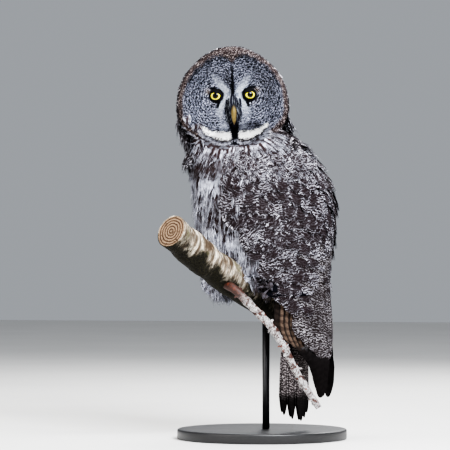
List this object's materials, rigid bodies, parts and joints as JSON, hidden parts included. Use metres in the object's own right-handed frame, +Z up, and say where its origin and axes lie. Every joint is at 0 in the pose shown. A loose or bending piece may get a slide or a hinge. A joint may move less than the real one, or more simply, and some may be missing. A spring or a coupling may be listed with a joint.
{
  "type": "great grey owl display model",
  "caption": "Life-size still model of a great grey owl perched on a cut length of branch, head turned over its left shoulder, on a plain round stand.",
  "frame": {"origin": "middle of the underside of the stand's base", "axes": "+Z up; -Y is the way the owl's breast faces; +X is the owl's left side"},
  "size_m": [0.3625, 0.2809, 0.6469],
  "materials": {
    "plumage": "matt feathers, barred and streaked brown and grey",
    "face": "matt fine feathers in concentric rings",
    "bill": "horn, satin, ochre yellow",
    "claw": "horn, satin black",
    "eye": "glass eye, yellow iris and black pupil",
    "lid": "matt black skin",
    "bark": "smooth tan bark with darker moss and rings",
    "stand": "satin black paint"
  },
  "bodies": {
    "root": {"bill_lower": "bill", "bill_upper": "bill", "claw_left_1": "claw", "claw_left_2": "claw", "claw_left_3": "claw", "claw_left_4": "claw", "claw_right_1": "claw", "claw_right_2": "claw", "claw_right_3": "claw", "claw_right_4": "claw", "eye_left": "eye", "eye_right": "eye", "foot_left": "plumage", "foot_right": "plumage", "head": "face", "leg_left": "plumage", "leg_right": "plumage", "lid_left": "lid", "lid_right": "lid", "neck": "plumage", "perch": "bark", "perch_twig": "bark", "stand_base": "stand", "stand_rod": "stand", "tail": "plumage", "torso": "plumage", "wing_left": "plumage", "wing_right": "plumage"}
  },
  "joints": []
}
